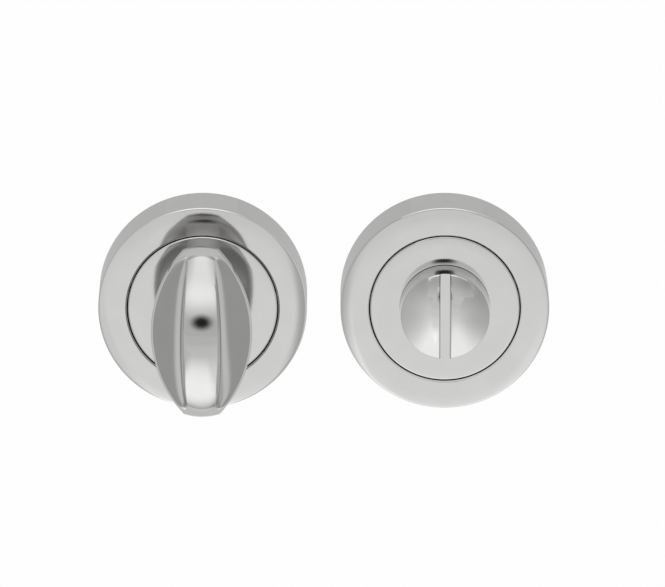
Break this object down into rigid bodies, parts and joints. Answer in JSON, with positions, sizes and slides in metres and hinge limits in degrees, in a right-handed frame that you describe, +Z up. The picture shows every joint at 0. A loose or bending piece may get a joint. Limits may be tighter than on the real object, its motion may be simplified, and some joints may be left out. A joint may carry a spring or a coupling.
{
  "type": "bathroom thumb turn lock",
  "caption": "Turn and release set for a bathroom door: a round rose with a sculpted thumb turn on a square spindle, and a round rose with a slotted dome release.",
  "frame": {"origin": "on the thumb turn's axis, at the back face of its rose, which lies on the door", "axes": "+Z up, +Y into the door along both turning axes, +X from the thumb turn towards the release"},
  "size_m": [0.108, 0.1012, 0.05],
  "materials": {
    "chrome": "polished chrome plate on a zinc casting",
    "steel": "bright zinc-plated steel",
    "black_steel": "blackened spring steel",
    "nylon": "natural nylon"
  },
  "bodies": {
    "roses": {"turn_cover_ring": "chrome", "turn_sub_rose": "chrome", "turn_snap_ring": "steel", "turn_bush": "nylon", "turn_spring_washer": "steel", "turn_wood_screws": "steel", "release_cover_ring": "chrome", "release_sub_rose": "chrome", "release_snap_ring": "steel", "release_bush": "nylon", "release_spring_washer": "steel", "release_wood_screws": "steel"},
    "turn": {"thumb_turn": "chrome", "drive_spindle": "steel", "spindle_grub_screw": "black_steel", "turn_thrust_washer": "steel", "turn_circlip": "black_steel"},
    "release": {"release_head": "chrome", "release_thrust_washer": "steel", "release_circlip": "black_steel"}
  },
  "joints": [
    {"name": "turn_rotation", "type": "hinge", "parent": "roses", "child": "turn", "pos_m": [0, 0, 0], "axis": [0, 1, 0], "range_deg": [-90, 90]},
    {"name": "release_rotation", "type": "hinge", "parent": "roses", "child": "release", "pos_m": [0.058, 0, 0], "axis": [0, 1, 0], "range_deg": [-90, 90]}
  ]
}
